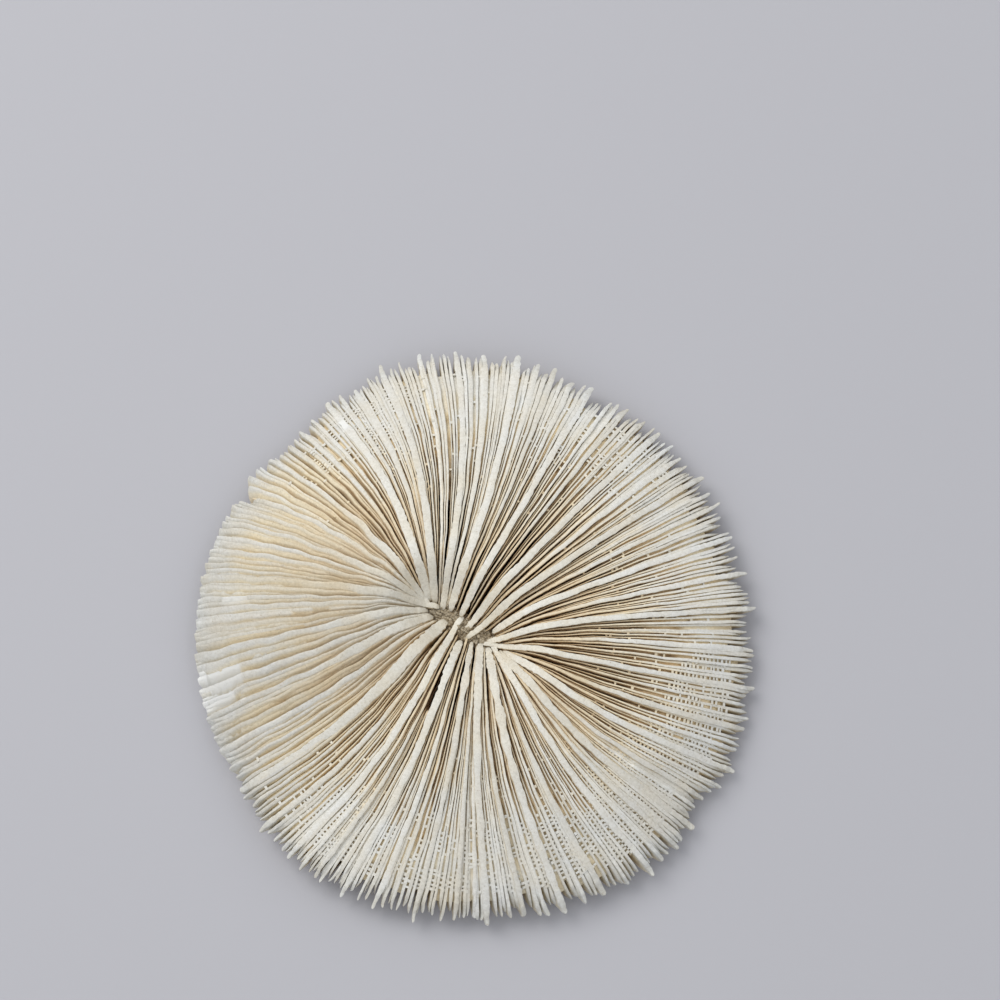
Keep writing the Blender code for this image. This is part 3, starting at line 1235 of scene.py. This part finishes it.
@dataclass
class Crossbars(BetweenBlades):
    """The short bars that join neighbouring blades, and leave rows of holes between them.

    Attributes:
        inner: The run at which the bars begin.
        outer: The run at which they end.
        spacing: The distance from bar to bar along a gap.
        taken: The share of the spacing that a bar takes.
        height: How tall a bar is.
        stray: The share of the bars that there are outside the patches with rows of holes.
        arched: How much lower a bar's sides lie, against the share of its own width.
    """

    inner: float = 0.40
    outer: float = 0.93
    spacing: float = 0.00105
    taken: float = 0.50
    height: float = 0.0005
    stray: float = 0.07
    arched: float = 0.0001

    def build(self, finish: bpy.types.Material) -> bpy.types.Object:
        """Model the bars and dress them.

        Args:
            finish: Their finish.

        Returns:
            All the bars as one piece.
        """
        form = self.form
        bars = int((self.outer - self.inner) * form.radius / self.spacing)
        gaps = form.blade_places
        draw = np.random.default_rng(31)
        gap = np.repeat(np.arange(gaps), bars)
        step = np.tile(np.arange(bars), gaps)
        phase = np.repeat(draw.uniform(0.0, 1.0, gaps), bars)
        angle = form.spaced((gap + 0.5) * 2.0 * math.pi / gaps)
        middle = step + phase + draw.uniform(-0.18, 0.18, gaps * bars)
        middle = self.inner + middle * self.spacing / form.radius
        grown = draw.uniform(0.0, 1.0, gaps * bars)
        stray = self.stray * (1.0 - form.shingle(angle))
        own = np.repeat(draw.uniform(0.5, 1.6, gaps), bars)
        kept = grown < np.maximum(4.0 * own * form.perforation(middle, angle) - 0.4, stray)
        angle, middle = angle[kept][:, None], middle[kept][:, None]
        each = (len(middle), 1)

        bpy.ops.mesh.primitive_cube_add(size=1.0, location=(0.0, 0.0, 0.0))
        piece = newest("crossbars")
        box = points_of(piece)
        arrayed(piece, len(middle))
        thick = self.taken * self.spacing * draw.uniform(0.75, 1.3, each) / form.radius
        run = middle + box[None, :, 0] * thick + draw.uniform(-0.0008, 0.0008, (len(middle), 8))
        across = box[None, :, 1] * form.pitch(middle) * 1.02
        sunk = (0.05 + draw.uniform(-0.06, 0.14, each)) * MM
        low = self.youngest.drop(middle, angle, form) * MM
        own_depth = sunk + (0.5 - box[None, :, 2]) * self.height
        self.settle(piece, run, angle, across, low + own_depth + self.arched * np.abs(box[None, :, 0]))
        # Bars deep in the gaps are painted darker, as painted shade with the stain.
        shade_and_stain = (own_depth + PAINTED_SHADE_BELOW * low) / MM * form.shade_and_stain(run, angle)
        give_growth(piece, run, shade_and_stain, draw.uniform(0.0, 1.0, each))
        finish_piece(piece, finish, 30.0)
        return piece


@dataclass
class MouthSponge:
    """The rough, spongy floor of the mouth, which the ends of the oldest blades sink into.

    Attributes:
        form: The form it follows.
        half_length: How far it reaches each way along the slit.
        half_width: How far it reaches each way across the slit.
        top: The height of its upper side.
        bottom: The height of its lower side, inside the plate.
        roughness: How far its lumps rise and fall.
        lump_scale: The scale of the lumps, in cells per metre.
        shade_and_stain_over: The drop over which its painted shade and stain grow by a millimetre's worth.
        slope: How much lower it is at its edge.
        grains: How many grains stand on it.
    """

    form: DiscForm
    half_length: float = 0.0116
    half_width: float = 0.0030
    top: float = 0.0129
    bottom: float = 0.0046
    roughness: float = 0.0007
    lump_scale: float = 900.0
    shade_and_stain_over: float = 0.0009
    slope: float = 0.0012
    grains: int = 520

    def surface(self, lengthways: float, sideways: float) -> float:
        """The height of the sponge's upper side at a place in the mouth."""
        spot = Vector((lengthways, sideways, 0.0)) * self.lump_scale
        rise = noise.fractal(spot, 0.9, 2.1, 4)
        fall = (lengthways / self.half_length) ** 2 + (sideways / self.half_width) ** 2
        return self.top + self.roughness * rise - self.slope * fall

    def pad(self, finish: bpy.types.Material) -> bpy.types.Object:
        """Model the body of the sponge from a globe with a lumpy top."""
        bpy.ops.mesh.primitive_ico_sphere_add(subdivisions=6, radius=1.0, location=(0.0, 0.0, 0.0))
        piece = newest("mouth_sponge")
        ball = points_of(piece)
        lengthways = ball[:, 0] * self.half_length * 1.05
        sideways = ball[:, 1] * self.half_width * 1.15
        roof = np.array([self.surface(u, v) for u, v in zip(lengthways, sideways)])
        share = smooth_step((ball[:, 2] + 0.35) / 0.7)
        x, y = self.form.in_mouth(lengthways, sideways)
        z = self.bottom + (roof - self.bottom) * share
        move_points(piece, np.stack([x + self.form.centre[0], y + self.form.centre[1], z], axis=1))
        self.dress(piece, finish, x, z - self.top)
        return piece

    def crumbs(self, finish: bpy.types.Material) -> bpy.types.Object:
        """Model the grains that stand all over the sponge."""
        bpy.ops.mesh.primitive_ico_sphere_add(subdivisions=1, radius=1.0, location=(0.0, 0.0, 0.0))
        piece = newest("mouth_grains")
        ball = points_of(piece)
        arrayed(piece, self.grains)
        draw = np.random.default_rng(41)
        each = (self.grains, 1)
        lengthways = draw.uniform(-1.0, 1.0, self.grains) * self.half_length
        sideways = draw.normal(0.0, 0.5, self.grains) * self.half_width
        roof = np.array([self.surface(u, v) for u, v in zip(lengthways, sideways)])[:, None]
        size = draw.uniform(0.00014, 0.00042, each)
        uneven = draw.uniform(0.7, 1.3, (self.grains, len(ball)))
        u = lengthways[:, None] + ball[None, :, 0] * size * uneven * draw.uniform(0.7, 1.6, each)
        v = sideways[:, None] + ball[None, :, 1] * size * uneven
        z = roof + (ball[None, :, 2] * 1.3 + 0.35) * size * uneven
        x, y = self.form.in_mouth(u, v)
        points = np.stack([x + self.form.centre[0], y + self.form.centre[1], z], axis=2)
        move_points(piece, points.reshape(-1, 3))
        self.dress(piece, finish, x, ball[None, :, 2] * size)
        return piece

    def dress(
        self, piece: bpy.types.Object, finish: bpy.types.Material, x: np.ndarray, rise: np.ndarray
    ) -> None:
        """Give a piece of the sponge its finish, darker where it lies low."""
        # Lower parts of the sponge are painted darker, as painted shade with the stain.
        shade_and_stain = np.clip(1.0 - rise / self.shade_and_stain_over, 0.0, 4.0)
        give_growth(piece, np.full(x.shape, 0.05), shade_and_stain, np.full(x.shape, 0.5))
        finish_piece(piece, finish, 70.0)

    def build(self, finish: bpy.types.Material) -> None:
        """Model both pieces of the sponge."""
        self.pad(finish)
        self.crumbs(finish)


# --- the plate -----------------------------------------------------------------------------


@dataclass
class Plate:
    """The plate that carries the blades, with ribs underneath that go on from the blades.

    Attributes:
        form: The form it follows.
        columns: How many columns of points there are round it.
        rings: How many rings of points there are from the middle of the top round to the
            middle of the underside.
        top_share: The share of the rings that the top takes.
        rib_taper: How narrow the ribs are, as a share of the distance between blades.
        rib_heights: How far a rib stands out, against the reach of its blades in millimetres.
        ribs_over: The stretch of the run over which the ribs rise from the middle.
        sunk: How far the plate's top lies under the floor between the blades.
        floor_shade_and_stain: How deep in the darkening colours its top is, in millimetres, as painted
            shade deep in the gaps with the stain.
        groove_shade_and_stain: The same underneath, painted darker in the grooves than on the ribs, against
            how far the ribs stand out in their room.
    """

    form: DiscForm
    columns: int = 1536
    rings: int = 48
    top_share: float = 0.3
    rib_taper: float = 1.3
    rib_heights: Keys = ((-1.0, 0.00018), (2.0, 0.00054))
    ribs_over: tuple[float, float] = (0.10, 0.25)
    sunk: float = 0.0002
    floor_shade_and_stain: float = 12.0
    groove_shade_and_stain: Keys = ((0.0, 1.2), (1.0, -0.4))

    def rib_height(self, run: np.ndarray, angle: np.ndarray) -> np.ndarray:
        """How far the ribs stand out under the plate, older blades' ribs furthest."""
        total = np.zeros(np.broadcast(run, angle).shape)
        for sizes in BLADES:
            places = self.form.unspaced(angle) * sizes.count / (2.0 * math.pi) - sizes.first_at
            turn = places * 2.0 * math.pi
            near = np.clip(np.cos(turn), -1.0, 1.0)
            away = np.arccos(near) / math.pi * self.form.blade_places / sizes.count
            share = np.clip(1.0 - self.rib_taper * away, 0.0, 1.0)
            total = np.maximum(total, share * along(self.rib_heights, sizes.reach))
        return total * eased(run, self.ribs_over)

    def build(self, finish: bpy.types.Material) -> bpy.types.Object:
        """Model the plate from a drum whose wall becomes its section.

        Args:
            finish: The plate's finish.

        Returns:
            The plate, closed all round.
        """
        form = self.form
        bpy.ops.mesh.primitive_cylinder_add(
            vertices=self.columns, radius=1.0, depth=1.0, end_fill_type="TRIFAN", location=(0.0, 0.0, 0.5)
        )
        plate = newest("plate")
        place_in_mesh(plate)
        bpy.ops.object.mode_set(mode="EDIT")
        stepped(plate, self.rings - 1, is_upright)
        bpy.ops.object.mode_set(mode="OBJECT")
        drum = points_of(plate)
        angle = np.arctan2(drum[:, 1], drum[:, 0])
        at_pole = np.hypot(drum[:, 0], drum[:, 1]) < 0.5
        inset = 0.5 / self.rings
        share = inset + (1.0 - 2.0 * inset) * (1.0 - drum[:, 2])
        share = np.where(at_pole, np.round(share), share)
        top = share < self.top_share
        run_top = share / self.top_share
        run_under = (1.0 - share) / (1.0 - self.top_share)
        run = np.where(top, run_top, run_under) * form.plate_reach
        rib = self.rib_height(run, angle)
        height = np.where(
            top,
            form.plate_top(run, angle) - self.sunk,
            np.maximum(form.ribbed(run, angle) - rib, 0.0),
        )
        reach = form.rim(angle) * run
        x = reach * np.cos(angle) + form.centre[0]
        y = reach * np.sin(angle) + form.centre[1]
        move_points(plate, np.stack([x, y, height], axis=1))
        # The top is painted dark as shade deep in the gaps, and the grooves underneath darker than the
        # ribs, as painted shade.
        in_grooves = along(self.groove_shade_and_stain, rib / form.rib_room)
        shade_and_stain = np.where(top, self.floor_shade_and_stain * form.shade_and_stain(run, angle), in_grooves)
        give_growth(plate, run, shade_and_stain, np.full_like(run, 0.5))
        finish_piece(plate, finish, 60.0)
        return plate


@dataclass
class Spines:
    """The small blunt spines in rows along the ribs of the underside.

    Attributes:
        form: The form they follow.
        rows: How many ribs carry spines.
        spacing: The distance from spine to spine along a rib.
        inner: The run at which they begin.
        outer: The run at which they end.
        height: How far they stand out.
        half_width: Half their thickness at the foot.
    """

    form: DiscForm
    rows: int = 192
    spacing: float = 0.0016
    inner: float = 0.34
    outer: float = 0.945
    height: float = 0.00065
    half_width: float = 0.00026

    def build(self, finish: bpy.types.Material) -> bpy.types.Object:
        """Model the spines and dress them.

        Args:
            finish: Their finish.

        Returns:
            All the spines as one piece.
        """
        form = self.form
        steps = int((self.outer - self.inner) * form.radius / self.spacing)
        count = self.rows * steps
        draw = np.random.default_rng(51)
        bpy.ops.mesh.primitive_cone_add(vertices=5, radius1=1.0, radius2=0.35, depth=1.0)
        piece = newest("spines")
        cone = points_of(piece)
        arrayed(piece, count)
        each = (count, 1)
        angle = form.spaced(np.repeat(np.arange(self.rows), steps)[:, None] * 2.0 * math.pi / self.rows)
        step = np.tile(np.arange(steps), self.rows)[:, None] + draw.uniform(-0.3, 0.3, each)
        run = self.inner + step * self.spacing / form.radius
        half = self.half_width * draw.uniform(0.7, 1.2, each)
        tall = self.height * draw.uniform(0.6, 1.2, each)
        reach = form.rim(angle) * run + cone[None, :, 0] * half
        aside = cone[None, :, 1] * half
        x = reach * np.cos(angle) - aside * np.sin(angle) + form.centre[0]
        y = reach * np.sin(angle) + aside * np.cos(angle) + form.centre[1]
        z = form.ribbed(run, angle) - (cone[None, :, 2] + 0.55) * tall
        move_points(piece, np.stack([x, y, np.maximum(z, 0.0)], axis=2).reshape(-1, 3))
        run_all = np.broadcast_to(run, x.shape)
        give_growth(piece, run_all, np.full(x.shape, 0.2), draw.uniform(0.0, 1.0, each))
        finish_piece(piece, finish, 60.0)
        return piece


# --- light, floor and camera ---------------------------------------------------------------


@dataclass
class Studio:
    """A plain pale floor that curves up all round, soft light and the camera.

    Attributes:
        low: The lowest corner of the coral's box.
        high: The highest corner.
        elevation: How high the camera stands over the floor, in degrees.
        distance: How far the camera is from the middle of the coral.
        picture_width: The width of what the camera sees at that distance.
        aim: How far the middle of the picture lies right of and above the coral's middle.
        floor_radius: How far the flat floor reaches.
        cove_radius: The radius of the curve in which it rises.
    """

    low: Vector
    high: Vector
    elevation: float = 80.0
    distance: float = 0.50
    picture_width: float = 0.2285
    aim: tuple[float, float] = (0.0080, 0.0279)
    floor_radius: float = 1.6
    cove_radius: float = 1.2

    def floor(self) -> None:
        """A wide round floor whose edge curves up into a wall."""
        bpy.ops.mesh.primitive_circle_add(
            vertices=96, radius=self.floor_radius, fill_type="NGON", location=(0.0, 0.0, -0.0001)
        )
        ground = newest("floor")
        place_in_mesh(ground)
        bpy.ops.object.mode_set(mode="EDIT")
        select_edges(ground, lambda middle, way: True)
        steps = 12
        for step in range(steps):
            turn = [math.radians(90.0 * (step + extra) / steps) for extra in (0, 1)]
            reach = [self.floor_radius + self.cove_radius * math.sin(angle) for angle in turn]
            rise = [self.cove_radius * (1.0 - math.cos(angle)) for angle in turn]
            grow = reach[1] / reach[0]
            bpy.ops.mesh.extrude_edges_move()
            bpy.ops.transform.resize(value=(grow, grow, 1.0), center_override=(0.0, 0.0, 0.0))
            bpy.ops.transform.translate(value=(0.0, 0.0, rise[1] - rise[0]))
        bpy.ops.object.mode_set(mode="OBJECT")
        bpy.ops.object.shade_smooth()
        board = NodeBoard("pale_floor")
        board.shader.inputs["Base Color"].default_value = (0.47, 0.465, 0.49, 1.0)
        board.shader.inputs["Roughness"].default_value = 0.95
        ground.data.materials.append(board.material)

    def area_light(self, name: str, place: Vector, size: float, power: float, colour: Colour) -> None:
        """A square light that faces the coral.

        Args:
            name: Its name.
            place: Where it hangs.
            size: The length of its sides.
            power: Its power in watts.
            colour: Its colour.
        """
        bpy.ops.object.light_add(type="AREA", location=place)
        lamp = bpy.context.active_object
        lamp.name = name
        lamp.data.size = size
        lamp.data.energy = power
        lamp.data.color = colour
        lamp.rotation_euler = (-Vector(place)).to_track_quat("-Z", "Y").to_euler()

    def lights(self) -> None:
        """A large soft light from the far left, and an even sky."""
        self.area_light("window", Vector((-0.60, 0.58, 1.05)), 0.8, 9.0, (1.0, 0.985, 0.96))
        world = bpy.data.worlds.new("soft_sky")
        world.use_nodes = True
        sky = world.node_tree.nodes["Background"]
        sky.inputs["Color"].default_value = (0.93, 0.96, 1.0, 1.0)
        sky.inputs["Strength"].default_value = 0.82
        bpy.context.scene.world = world
        bpy.context.scene.view_settings.view_transform = "Standard"

    def camera(self) -> None:
        """The camera, looking down at the coral from its front edge."""
        middle = Vector((0.0, 0.0, (self.low.z + self.high.z) / 2))
        up = math.radians(self.elevation)
        back = Vector((0.0, -math.cos(up), math.sin(up)))
        above = Vector((0.0, math.sin(up), math.cos(up)))
        place = middle + back * self.distance
        target = middle + Vector((self.aim[0], 0.0, 0.0)) + above * self.aim[1]
        bpy.ops.object.camera_add(location=place)
        camera = bpy.context.active_object
        camera.name = "camera"
        camera.rotation_euler = (target - place).to_track_quat("-Z", "Y").to_euler()
        camera.data.lens = camera.data.sensor_width * self.distance / self.picture_width
        bpy.context.scene.camera = camera

    def build(self) -> None:
        """Set up the floor, the lights and the camera."""
        self.floor()
        self.lights()
        self.camera()


def main() -> None:
    """Model every piece of the coral, then light it."""
    logging.basicConfig(level=logging.INFO, format="%(message)s")
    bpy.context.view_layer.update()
    low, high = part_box(CORAL_NODE)
    form = DiscForm.fitted(low, high)
    skeleton = SkeletonFinish("dry_skeleton").material()
    sponge = SkeletonFinish("dusty_sponge", middle=SPONGE_COLOURS).material()
    for sizes in BLADES:
        Blades(sizes, form).build(skeleton)
    Webs(form, BLADES[-1]).build(skeleton)
    Crossbars(form, BLADES[-1]).build(skeleton)
    MouthSponge(form).build(sponge)
    Plate(form).build(skeleton)
    Spines(form).build(skeleton)
    Studio(low, high).build()


if __name__ == "__main__":
    main()
